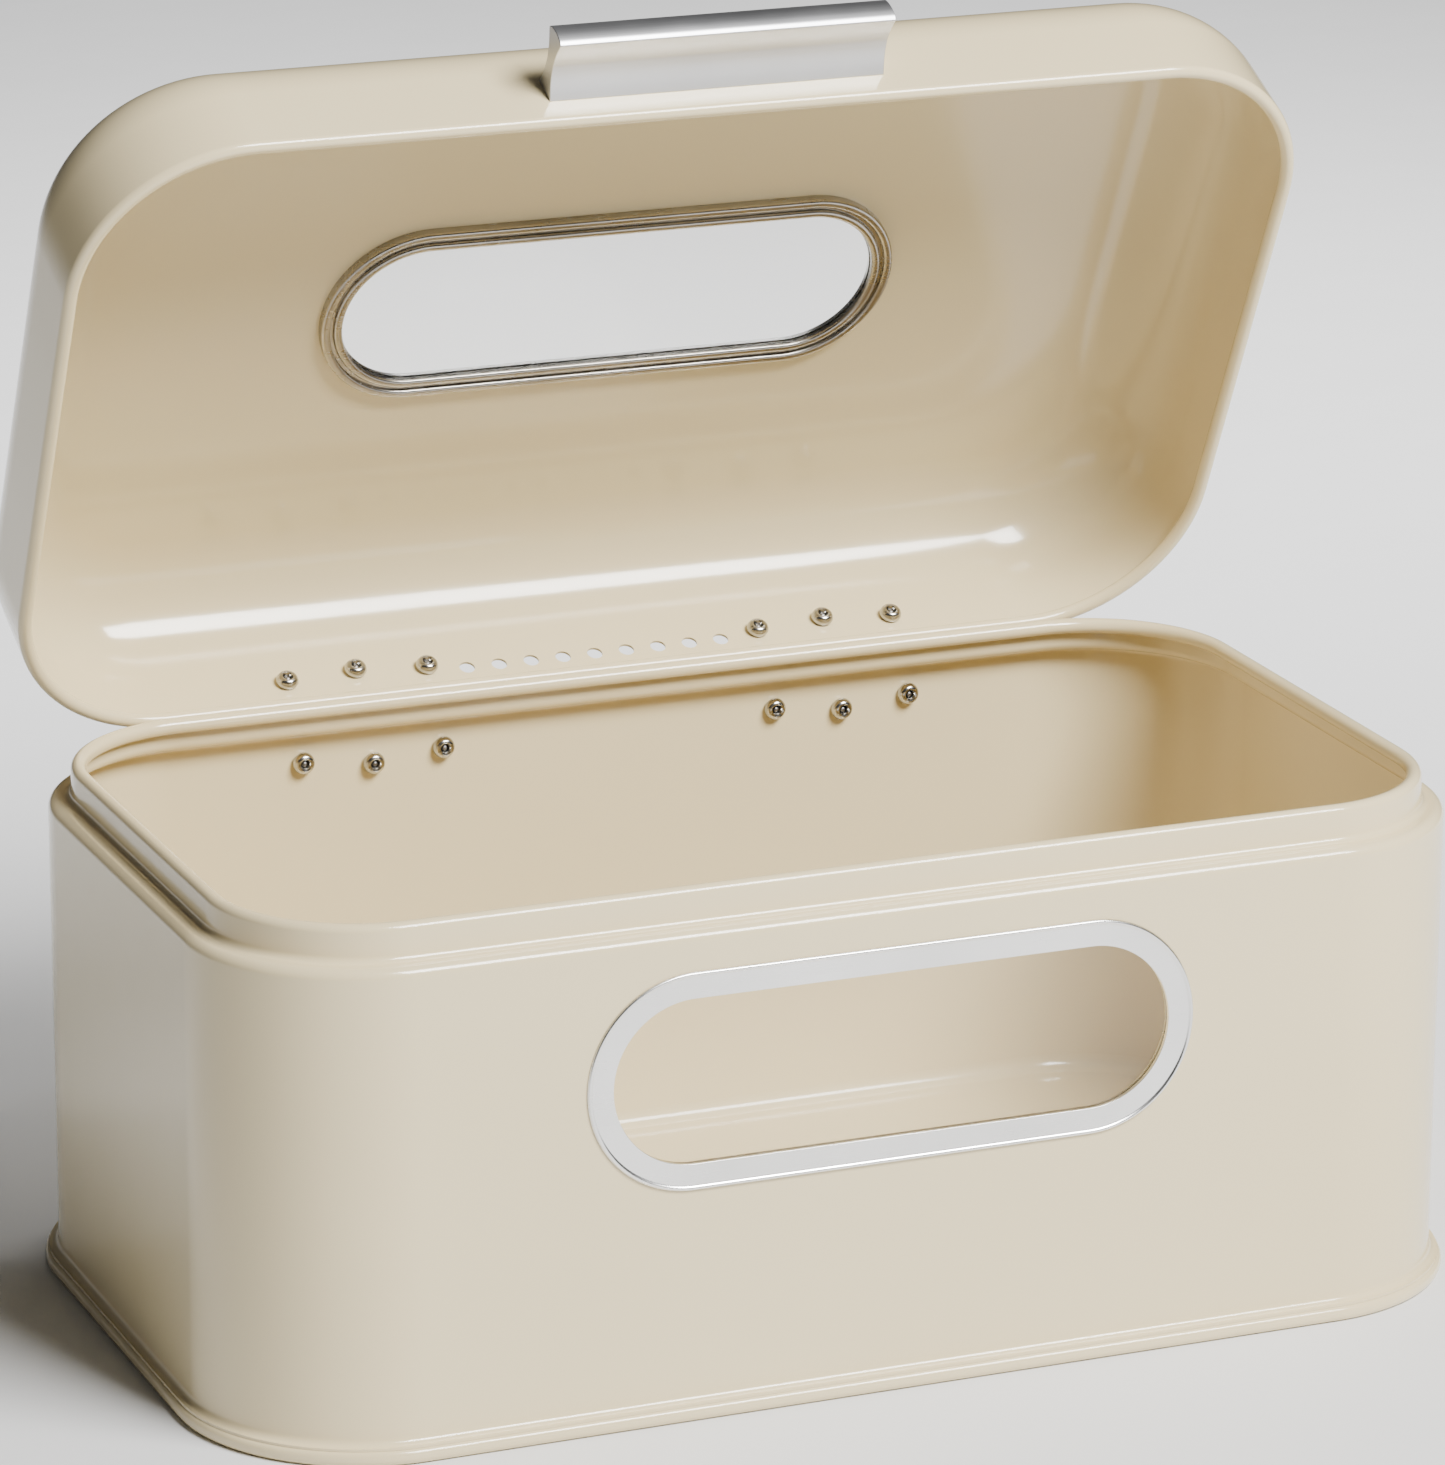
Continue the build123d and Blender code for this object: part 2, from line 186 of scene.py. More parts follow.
def new_group(
    name: str, inputs: dict[str, float], outputs: Iterable[str]
) -> tuple[NodeMaker, dict[str, NodeSocket]]:
    """Make an empty shader node group with float inputs and outputs.

    Args:
        name: The group's name.
        inputs: Input names and their default values.
        outputs: Output names.

    Returns:
        A node maker for the group, and the sockets of its inputs by name.
    """
    tree = bpy.data.node_groups.new(name, "ShaderNodeTree")
    for label, value in inputs.items():
        socket = tree.interface.new_socket(label, in_out="INPUT", socket_type="NodeSocketFloat")
        socket.default_value = value
    for label in outputs:
        tree.interface.new_socket(label, in_out="OUTPUT", socket_type="NodeSocketFloat")
    make = NodeMaker(tree)
    start = make.add("NodeGroupInput")
    return make, {label: start.outputs[label] for label in inputs}


def surface_life_group() -> NodeTree:
    """Slow mottling, fine speckle and handling smudges, shared by every finish.

    Returns:
        A group with Mottle, Speckle and Smudge outputs between 0 and 1.
    """
    inputs = {"Mottle Scale": 9.0, "Speckle Scale": 900.0, "Speckle Amount": 0.3}
    make, start = new_group("surface_life", inputs, ("Mottle", "Speckle", "Smudge"))
    place = make.place()
    dots = make.remap(make.noise(place, start["Speckle Scale"], 1.0), SPECKLE_SPAN)
    stretch = make.add("ShaderNodeMapping", {"Vector": place, "Scale": SMUDGE_STRETCH})
    smudge = make.noise(stretch.outputs[0], 1.0, 5.0, 0.62)
    make.add("NodeGroupOutput", {
        "Mottle": make.remap(make.noise(place, start["Mottle Scale"], 3.0), MOTTLE_SPAN),
        "Speckle": make.math("MULTIPLY", dots, start["Speckle Amount"]),
        "Smudge": make.remap(smudge, SMUDGE_SPAN),
    })
    return make.tree


def drawn_grain_group() -> NodeTree:
    """Fine parallel lines along X, as brushing, rolling or extrusion leaves in metal.

    Returns:
        A group with a Grain output between 0 and 1.
    """
    make, start = new_group("drawn_grain", {"Along": 6.0, "Across": 2600.0}, ("Grain",))
    across = start["Across"]
    scale = make.add("ShaderNodeCombineXYZ", {"X": start["Along"], "Y": across, "Z": across})
    stretch = make.add(
        "ShaderNodeVectorMath", {0: make.place(), 1: scale.outputs[0]}, operation="MULTIPLY"
    )
    make.add("NodeGroupOutput", {"Grain": make.noise(stretch.outputs[0], 1.0, 2.0)})
    return make.tree


def edge_wear_group() -> NodeTree:
    """A mask of the sharp outer edges, broken up by noise.

    Returns:
        A group with a Wear output between 0 and 1.
    """
    make, start = new_group("edge_wear", {"Breakup": 240.0, "Amount": 1.0}, ("Wear",))
    ridge = make.remap(make.add("ShaderNodeNewGeometry").outputs["Pointiness"], RIDGE_SPAN)
    chips = make.remap(make.noise(make.place(), start["Breakup"], 4.0), CHIP_SPAN)
    broken = make.math("MULTIPLY", ridge, chips)
    make.add("NodeGroupOutput", {"Wear": make.math("MULTIPLY", broken, start["Amount"])})
    return make.tree


class GroupShelf:
    """The shader groups, built once and placed in each material."""

    def __init__(self) -> None:
        """Build every shared group."""
        self.life = surface_life_group()
        self.grain = drawn_grain_group()
        self.wear = edge_wear_group()


# ---- finishes


@dataclass(frozen=True)
class Finish:
    """A matt surface, and what every other finish shares with it."""

    name: str
    colour: Colour
    second_colour: Colour
    roughness: float
    roughness_spread: float
    mottle_scale: float = 3.0
    speckle_scale: float = 500.0
    speckle_amount: float = 0.2

    def build(self, shelf: GroupShelf) -> Material:
        """Build the material around its Principled shader.

        Args:
            shelf: The shared shader groups.

        Returns:
            The material.
        """
        material = bpy.data.materials.new(self.name)
        material.use_nodes = True
        material.diffuse_color = (*self.colour, 1.0)
        make = NodeMaker(material.node_tree)
        life = make.group(shelf.life, {
            "Mottle Scale": self.mottle_scale,
            "Speckle Scale": self.speckle_scale,
            "Speckle Amount": self.speckle_amount,
        })
        inputs = self.surface(make, shelf, life)
        ends = {"A": (*self.colour, 1.0), "B": (*self.second_colour, 1.0)}
        mix = make.add("ShaderNodeMix", {"Factor": inputs["Base Color"], **ends}, data_type="RGBA")
        inputs["Base Color"] = mix.outputs["Result"]
        reach = (self.roughness, self.roughness + self.roughness_spread)
        inputs["Roughness"] = make.remap(inputs["Roughness"], UNIT, reach)
        make.feed(material.node_tree.nodes["Principled BSDF"], inputs)
        return material

    def surface(self, make: NodeMaker, shelf: GroupShelf, life: Sockets) -> dict[str, object]:
        """Say what feeds the Principled shader.

        Args:
            make: The material's node maker.
            shelf: The shared shader groups.
            life: Outputs of the surface_life group.

        Returns:
            Input values by name; for the colour and the roughness, the mask that blends their ends.
        """
        return {"Base Color": life["Mottle"], "Roughness": life["Smudge"]}


@dataclass(frozen=True)
class EnamelFinish(Finish):
    """Gloss powder coat on sheet steel: even colour, faint orange peel and sheet waviness."""

    mottle_scale: float = 7.0
    speckle_scale: float = 1500.0
    speckle_amount: float = 0.5
    mottle_share: float = 0.55
    peel_scale: float = 520.0
    peel_height: float = 0.006 * MM
    wave_scale: float = 26.0
    wave_height: float = 0.25 * MM
    ior: float = 1.5
    coat: float = 0.45
    coat_roughness: float = 0.07

    def surface(self, make: NodeMaker, shelf: GroupShelf, life: Sockets) -> dict[str, object]:
        """Add the waves, the peel and the clear coat."""
        mottle = make.math("MULTIPLY", life["Mottle"], self.mottle_share)
        place = make.place()
        wave = make.bump(make.noise(place, self.wave_scale, 1.0), self.wave_height)
        peel = make.bump(make.noise(place, self.peel_scale, 1.0), self.peel_height, Normal=wave)
        return {
            "Base Color": make.math("ADD", mottle, life["Speckle"]), "Roughness": life["Smudge"],
            "Normal": peel, "IOR": self.ior, "Coat Weight": self.coat,
            "Coat Roughness": self.coat_roughness,
        }


@dataclass(frozen=True)
class DrawnMetalFinish(Finish):
    """Bare or plated metal with a drawn grain, worn bright along its edges."""

    mottle_scale: float = 22.0
    speckle_scale: float = 2200.0
    speckle_amount: float = 0.4
    along: float = 6.0
    across: float = 2600.0
    grain_height: float = 0.01 * MM
    wear: float = 0.5

    def surface(self, make: NodeMaker, shelf: GroupShelf, life: Sockets) -> dict[str, object]:
        """Add the grain and the worn edges."""
        grain = make.group(shelf.grain, {"Along": self.along, "Across": self.across})["Grain"]
        wear = make.group(shelf.wear, {"Amount": self.wear})["Wear"]
        unworn = make.math("SUBTRACT", 1.0, wear)
        blend = make.math("MULTIPLY", make.math("ADD", life["Smudge"], grain), 0.5)
        return {
            "Base Color": make.math("MULTIPLY", life["Mottle"], unworn), "Roughness": blend,
            "Normal": make.bump(grain, self.grain_height), "Metallic": 1.0,
        }


@dataclass(frozen=True)
class ClearPaneFinish(Finish):
    """Clear acrylic sheet with a few faint smears."""

    mottle_scale: float = 16.0
    speckle_scale: float = 1200.0
    ior: float = 1.45

    def surface(self, make: NodeMaker, shelf: GroupShelf, life: Sockets) -> dict[str, object]:
        """Let the light through."""
        return {
            "Base Color": life["Speckle"], "Roughness": life["Smudge"],
            "IOR": self.ior, "Transmission Weight": 1.0,
        }


class Finishes:
    """Every finish on the object and the stage, as built materials."""

    def __init__(self) -> None:
        """Build the groups and the materials."""
        shelf = GroupShelf()
        self.enamel = EnamelFinish(
            "cream_enamel", (0.785, 0.66, 0.398), (0.76, 0.635, 0.378), 0.15, 0.05
        ).build(shelf)
        self.trim = DrawnMetalFinish(
            "satin_window_trim", (0.93, 0.925, 0.91), (0.82, 0.815, 0.8), 0.2, 0.16,
            along=40.0, across=900.0,
        ).build(shelf)
        # The backing rings are the same metal as the trim; their darker colour is a painted reflection of
        # the dim surroundings they face.
        self.ring = DrawnMetalFinish(
            "dark_backing_ring", (0.5, 0.475, 0.43), (0.36, 0.34, 0.3), 0.22, 0.16,
            along=60.0, across=700.0,
        ).build(shelf)
        self.pane = ClearPaneFinish(
            "clear_pane", (0.985, 0.99, 0.985), (0.95, 0.95, 0.94), 0.0, 0.015
        ).build(shelf)
        self.handle = DrawnMetalFinish(
            "anodised_handle", (0.66, 0.66, 0.67), (0.58, 0.58, 0.59), 0.36, 0.12,
            along=9.0, across=3600.0,
        ).build(shelf)
        self.hinge = DrawnMetalFinish(
            "zinc_hinge", (0.6, 0.6, 0.59), (0.48, 0.48, 0.47), 0.3, 0.2, mottle_scale=60.0
        ).build(shelf)
        self.rivet = DrawnMetalFinish(
            "rivet_aluminium", (0.56, 0.55, 0.52), (0.4, 0.39, 0.36), 0.16, 0.16, mottle_scale=260.0
        ).build(shelf)
        self.mandrel = DrawnMetalFinish(
            "mandrel_steel", (0.3, 0.29, 0.28), (0.18, 0.17, 0.16), 0.35, 0.2, mottle_scale=300.0
        ).build(shelf)
        self.floor = Finish(
            "paper_sweep", (0.81, 0.81, 0.81), (0.79, 0.79, 0.79), 0.7, 0.1
        ).build(shelf)


# ---- outlines


@dataclass
class Outline:
    """A flat outline drawn by going straight and bending, like a strip of sheet being folded.

    X is outward from the wall's face and Y is height, both in metres.
    """

    points: list[Point]
    heading: float
    steps: int = 7

    def ahead(self, length: float) -> "Outline":
        """Go straight on by a length and return the same outline."""
        x, y = self.points[-1]
        self.points.append((x + length * math.cos(self.heading), y + length * math.sin(self.heading)))
        return self

    def bend(self, radius: float, degrees: float) -> "Outline":
        """Turn on an arc; positive degrees turn to the left.

        Args:
            radius: The arc's radius.
            degrees: The angle turned through.

        Returns:
            The same outline.
        """
        reach = math.copysign(radius, degrees)
        x, y = self.points[-1]
        middle = (x - reach * math.sin(self.heading), y + reach * math.cos(self.heading))
        count = max(2, round(self.steps * abs(degrees) / 90.0))
        for index in range(1, count + 1):
            angle = self.heading + math.radians(degrees) * index / count
            self.points.append((middle[0] + reach * math.sin(angle), middle[1] - reach * math.cos(angle)))
        self.heading += math.radians(degrees)
        return self

    def thick(self, amount: float) -> list[Point]:
        """Give the strip its thickness.

        Args:
            amount: The sheet's thickness, to the left of the way the outline goes.

        Returns:
            The outline followed by its offset copy, backwards.
        """
        ways = [Vector((c - a, d - b)) for (a, b), (c, d) in zip(self.points, self.points[1:])]
        moved = []
        for (x, y), into, away in zip(self.points, ways[:1] + ways, ways + ways[-1:]):
            normals = [Vector((-way.y, way.x)).normalized() for way in (into, away)]
            middle = (normals[0] + normals[1]).normalized()
            reach = amount / max(0.5, middle.dot(normals[0]))
            moved.append((x + middle.x * reach, y + middle.y * reach))
        return self.points + moved[::-1]


def stadium(length: float, height: float, steps: int = 32) -> list[Point]:
    """Draw an oblong with round ends, centred on the origin.

    Args:
        length: Its whole length.
        height: Its height, twice the radius of its ends.
        steps: How many parts each end is drawn in.

    Returns:
        Its points.
    """
    radius, reach = height / 2, (length - height) / 2
    points = []
    for centre, begin in ((reach, -math.pi / 2), (-reach, math.pi / 2)):
        for index in range(steps + 1):
            angle = begin + math.pi * index / steps
            points.append((centre + radius * math.cos(angle), radius * math.sin(angle)))
    return points


def section(table: Iterable[Point], first: float = 0.0, second: float = 0.0) -> list[Point]:
    """Points in metres from a table in millimetres, moved by an offset for each coordinate."""
    return [(first + x * MM, second + y * MM) for x, y in table]


# ---- mesh work


def link_object(name: str, data: ID) -> Object:
    """Put new data in the scene as an object at the origin.

    Args:
        name: The object's name.
        data: What it carries.

    Returns:
        The object.
    """
    made = bpy.data.objects.new(name, data)
    bpy.context.scene.collection.objects.link(made)
    return made


def evaluated_mesh(source: Object) -> Mesh:
    """The plain mesh that an object's modifiers give."""
    graph = bpy.context.evaluated_depsgraph_get()
    return bpy.data.meshes.new_from_object(source.evaluated_get(graph), depsgraph=graph)


def modify(target: Object, name: str, kind: str, **settings: object) -> None:
    """Put a modifier with its settings on an object.

    Args:
        target: The object.
        name: The modifier's name.
        kind: Its type.
        **settings: Attributes set on it.
    """
    modifier = target.modifiers.new(name, kind)
    for label, value in settings.items():
        setattr(modifier, label, value)


class PieceTree:
    """A Geometry Nodes tree with named inputs that makes one mesh from a source object."""

    name: str
    sockets: dict[str, str]

    def __init__(self) -> None:
        """Make the tree with its inputs, and a way from the source to the dressed result."""
        self.tree = bpy.data.node_groups.new(self.name, "GeometryNodeTree")
        face = self.tree.interface
        face.new_socket("Geometry", in_out="OUTPUT", socket_type="NodeSocketGeometry")
        kinds = {"Source": "Object", **self.sockets, "Finish": "Material"}
        self.identifiers = {
            label: face.new_socket(label, in_out="INPUT", socket_type=f"NodeSocket{kind}").identifier
            for label, kind in kinds.items()
        }
        make = NodeMaker(self.tree)
        start = make.add("NodeGroupInput").outputs
        source = make.add("GeometryNodeObjectInfo", {"Object": start["Source"]}).outputs["Geometry"]
        real = make.add("GeometryNodeRealizeInstances", {0: self.wire(make, start, source)})
        dressed = {"Geometry": real.outputs[0], "Material": start["Finish"]}
        dress = make.add("GeometryNodeSetMaterial", dressed)
        make.add("NodeGroupOutput", {"Geometry": dress.outputs[0]})

    def wire(self, make: NodeMaker, start: Sockets, source: NodeSocket) -> NodeSocket:
        """Add the nodes that do the work.

        Args:
            make: The tree's node maker.
            start: The sockets of the inputs.
            source: The source object's geometry.

        Returns:
            The socket with the result.
        """
        raise NotImplementedError

    def run(self, name: str, source: ID, values: dict[str, object]) -> Mesh:
        """Run the tree once and keep its plain mesh.

        Args:
            name: The new mesh's name.
            source: The curve or mesh that the tree works on.
            values: The other inputs by name.

        Returns:
            The resulting mesh.
        """
        helper = link_object(f"{name}_source", source)
        carrier = link_object(f"{name}_carrier", bpy.data.meshes.new(f"{name}_empty"))
        modifier = carrier.modifiers.new("tree", "NODES")
        modifier.node_group = self.tree
        for label, value in {"Source": helper, **values}.items():
            modifier[self.identifiers[label]] = value
        mesh = evaluated_mesh(carrier)
        mesh.name = name
        for used in (carrier, helper):
            bpy.data.objects.remove(used)
        return mesh


class LoopSweep(PieceTree):
    """Carries a section round a rounded rectangle or a stadium."""

    name = "section_round_a_loop"
    sockets = {"Length": "Float", "Depth": "Float", "Corner": "Float", "Steps": "Int"}

    def wire(self, make: NodeMaker, start: Sockets, source: NodeSocket) -> NodeSocket:
        """Round off a rectangle's corners and sweep the section along it."""
        sides = {"Width": start["Length"], "Height": start["Depth"]}
        loop = make.add("GeometryNodeCurvePrimitiveQuadrilateral", sides)
        corners = {
            "Curve": loop.outputs[0], "Radius": start["Corner"], "Count": start["Steps"],
            "Limit Radius": True,
        }
        rounded = make.add("GeometryNodeFilletCurve", corners, mode="POLY")
        swept = {"Curve": rounded.outputs[0], "Profile Curve": source}
        return make.add("GeometryNodeCurveToMesh", swept).outputs[0]

    def sweep(
        self, name: str, outline: Sequence[Point], size: Point, corner: float,
        finish: Material, closed: bool = True, steps: int = 24,
    ) -> Mesh:
        """Sweep an outline round the loop.

        Args:
            name: The new mesh's name.
            outline: The section, X outward from the loop and Y up.
            size: The loop's length and depth.
            corner: The loop's corner radius.
            finish: The material.
            closed: Whether the section closes on itself; if not, the holes it leaves are filled.
            steps: How many points each corner takes.

        Returns:
            The swept mesh.
        """
        curve = bpy.data.curves.new(f"{name}_section", "CURVE")
        curve.dimensions = "2D"
        curve.fill_mode = "NONE"
        spline = curve.splines.new("POLY")
        spline.points.add(len(outline) - 1)
        for point, (x, y) in zip(spline.points, outline):
            point.co = (x, -y, 0.0, 1.0)
        spline.use_cyclic_u = closed
        values = {"Length": size[0], "Depth": size[1], "Corner": corner, "Steps": steps}
        mesh = self.run(name, curve, {**values, "Finish": finish})
        bpy.data.curves.remove(curve)
        mend(mesh, fill_holes=not closed)
        return mesh


class RowOfPieces(PieceTree):
    """Sets copies of one small piece in a row, every second one off the line if wanted."""

    name = "row_of_pieces"
    sockets = {"Count": "Int", "Start": "Vector", "Step": "Vector", "Shift": "Vector"}

    def wire(self, make: NodeMaker, start: Sockets, source: NodeSocket) -> NodeSocket:
        """Lay a line of points, shift the odd ones and put the source on each."""
        spacing = {"Count": start["Count"], "Start Location": start["Start"], "Offset": start["Step"]}
        line = make.add("GeometryNodeMeshLine", spacing, mode="OFFSET")
        odd = make.math("MODULO", make.add("GeometryNodeInputIndex").outputs[0], 2.0)
        aside = make.add("ShaderNodeVectorMath", {0: start["Shift"], "Scale": odd}, operation="SCALE")
        moved = {"Geometry": line.outputs[0], "Offset": aside.outputs[0]}
        points = make.add("GeometryNodeSetPosition", moved).outputs[0]
        return make.add("GeometryNodeInstanceOnPoints", {"Points": points, "Instance": source}).outputs[0]

    def repeat(
        self, name: str, piece: Mesh, count: int, start: Spot, pitch: float, shift: float = 0.0
    ) -> Mesh:
        """Set the copies along X.

        Args:
            name: The new mesh's name.
            piece: The mesh that is repeated.
            count: How many there are.
            start: The first one's place.
            pitch: From each to the next.
            shift: How far every second one stands above the line.

        Returns:
            The mesh of all the copies.
        """
        values = {"Count": count, "Start": Vector(start), "Step": Vector((pitch, 0.0, 0.0))}
        values |= {"Shift": Vector((0.0, 0.0, shift)), "Finish": piece.materials[0]}
        return self.run(name, piece, values)


def rebuild(mesh: Mesh, build: Callable[[BMesh], None]) -> Mesh:
    """Make a mesh anew by a bmesh function, its faces turned outward.

    Args:
        mesh: The mesh that takes the result.
        build: Fills the bmesh.

    Returns:
        The same mesh.
    """
    work = bmesh.new()
    build(work)
    bmesh.ops.recalc_face_normals(work, faces=work.faces)
    work.to_mesh(mesh)
    work.free()
    return mesh


def mesh_from(name: str, build: Callable[[BMesh], None], finish: Material) -> Mesh:
    """Make a new mesh by a bmesh function.

    Args:
        name: The mesh's name.
        build: Fills the bmesh.
        finish: The material.

    Returns:
        The mesh.
    """
    mesh = rebuild(bpy.data.meshes.new(name), build)
    mesh.materials.append(finish)
    return mesh


def mend(mesh: Mesh, fill_holes: bool) -> None:
    """Merge doubles and turn the faces outward.

    Args:
        mesh: The mesh to mend.
        fill_holes: Whether open boundary loops get a flat face.
    """

    def build(work: BMesh) -> None:
        """Read the mesh in and mend it."""
        work.from_mesh(mesh)
        bmesh.ops.remove_doubles(work, verts=work.verts, dist=WELD_DISTANCE)
        if fill_holes:
            open_edges = [edge for edge in work.edges if edge.is_boundary]
            bmesh.ops.holes_fill(work, edges=open_edges, sides=0)

    rebuild(mesh, build)


def cut(mesh: Mesh, cutters: Iterable[Mesh]) -> Mesh:
    """Cut shapes out of a closed mesh.

    Args:
        mesh: The closed mesh.
        cutters: Closed meshes to take away.

    Returns:
        The cut mesh.
    """
    name, finish = mesh.name, mesh.materials[0]
    target = link_object("cut_target", mesh)
    helpers = [link_object(f"cutter_{index}", cutter) for index, cutter in enumerate(cutters)]
    for helper in helpers:
        modify(target, helper.name, "BOOLEAN", operation="DIFFERENCE", solver="EXACT", object=helper)
    result = evaluated_mesh(target)
    for helper in (*helpers, target):
        bpy.data.objects.remove(helper)
    result.name = name
    result.materials.clear()
    result.materials.append(finish)
    for polygon in result.polygons:
        polygon.material_index = 0
    return result


def prism(
    name: str, outline: Sequence[Point], low: float, high: float, axis: str, finish: Material
) -> Mesh:
    """A closed straight prism with its section across X, Y or Z.

    Args:
        name: The mesh's name.
        outline: The section's points: (x, z) for axis Y, (y, z) for X and (x, y) for Z.
        low: Where it starts along the axis.
        high: Where it ends.
        axis: "X", "Y" or "Z".
        finish: The material.

    Returns:
        The mesh.
    """
    order = {"X": (2, 0, 1), "Y": (0, 2, 1), "Z": (0, 1, 2)}[axis]

    def build(work: BMesh) -> None:
        """Raise the two ends and the sides between them."""
        ends = [
            [work.verts.new([(*point, along)[part] for part in order]) for point in outline]
            for along in (low, high)
        ]
        for end in ends:
            work.faces.new(end)
        for index in range(len(outline)):
            after = (index + 1) % len(outline)
            work.faces.new((ends[0][index], ends[0][after], ends[1][after], ends[1][index]))

    return mesh_from(name, build, finish)


def turned(name: str, outline: Sequence[Point], finish: Material, steps: int = 24) -> Mesh:
    """A small piece turned about the Y axis.

    Args:
        name: The mesh's name.
        outline: Points (radius, y); a radius of 0 closes the end.
        finish: The material.
        steps: How many sides it has.

    Returns:
        The mesh.
    """

    def build(work: BMesh) -> None:
        """Lay the rings and join them."""
        rings = []
        for radius, y in outline:
            if radius <= 0.0:
                rings.append([work.verts.new((0.0, y, 0.0))])
                continue
            angles = (2.0 * math.pi * index / steps for index in range(steps))
            rings.append([work.verts.new((radius * math.cos(a), y, radius * math.sin(a))) for a in angles])
        for first, second in zip(rings, rings[1:] + rings[:1]):
            if len(first) == 1 and len(second) == 1:
                continue
            for index in range(steps):
                after = (index + 1) % steps
                corners = [first[index % len(first)], first[after % len(first)]]
                corners += [second[after % len(second)], second[index % len(second)]]
                work.faces.new(list(dict.fromkeys(corners)))

    return mesh_from(name, build, finish)


def smooth(mesh: Mesh) -> None:
    """Smooth the faces, keep real edges sharp."""
    mesh.shade_smooth()
    mesh.set_sharp_from_angle(angle=SHARP_ANGLE)


def add_piece(
    mesh: Mesh, body: Body, node: str, place: Matrix | None = None,
    bevel: float = 0.0, weighted: bool = True,
) -> None:
    """Finish a piece, put it on its body and hand over the CAD node it stands for.

    Args:
        mesh: The piece's mesh, in the closed pose for pieces of the lid.
        body: The body that it rides on.
        node: The CAD node that it replaces.
        place: The move from the closed pose to the rest pose.
        bevel: Width of a small bevel on sharp edges.
        weighted: Whether large faces lead the normals.
    """
    if place is not None:
        mesh.transform(place)
    smooth(mesh)
    piece = link_object(f"{node}_look", mesh)
    if bevel:
        modify(
            piece, "edges", "BEVEL", width=bevel, segments=BEVEL_SEGMENTS, limit_method="ANGLE",
            angle_limit=BEVEL_ANGLE, harden_normals=False,
        )
    if weighted:
        modify(piece, "normals", "WEIGHTED_NORMAL", keep_sharp=True, weight=NORMAL_WEIGHT)
    finished = evaluated_mesh(piece)
    finished.name = f"{node}_look"
    piece.modifiers.clear()
    piece.data = finished
    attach(piece, body.value)
    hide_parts(node)
    LOG.info("%s: %d faces on %s", piece.name, len(finished.polygons), body.value)


# ---- sub-assemblies


@dataclass
class Gauge:
    """The sizes that every sub-assembly reads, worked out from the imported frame."""

    sheet: float = 0.8 * MM
    corner: float = 56.2 * MM
    length: float = field(init=False)
    depth: float = field(init=False)
    shoulder: float = 157.5 * MM
    rim: float = field(init=False)
    lid_gap: float = 0.8 * MM
    lid_height: float = 57.5 * MM
    opened: Matrix = field(init=False)
    hinge: Vector = field(init=False)

    def __post_init__(self) -> None:
        """Read the frame."""
        low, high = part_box("lid_shell")
        self.length = high.x - low.x
        shell_low, shell_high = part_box("body_shell")
        flange = (shell_high.x - shell_low.x - self.length) / 2
        self.depth = shell_high.y - shell_low.y - 2 * flange
        self.rim = shell_high.z
        joint = frame["joints"][0]
        self.hinge = Vector(joint["pos_m"])
        angle = -math.radians(joint["range_deg"][0])
        turn = Matrix.Rotation(angle, 4, Vector(joint["axis"]))
        self.opened = Matrix.Translation(self.hinge) @ turn @ Matrix.Translation(-self.hinge)

    @property
    def size(self) -> Point:
        """Length and depth of the wall."""
        return self.length, self.depth

    @property
    def back(self) -> float:
        """Y of the back wall's outer face."""
        return self.depth / 2

    @property
    def lid_bottom(self) -> float:
        """Height of the closed lid's rim."""
        return self.shoulder + self.lid_gap

    @property
    def lid_top(self) -> float:
        """Height of the closed lid's flat top."""
        return self.lid_bottom + self.lid_height


@dataclass
class Assembly:
    """What the sub-assemblies share: sizes, finishes and the two Geometry Nodes trees."""

    gauge: Gauge
    finishes: Finishes
    loop: LoopSweep
    row: RowOfPieces


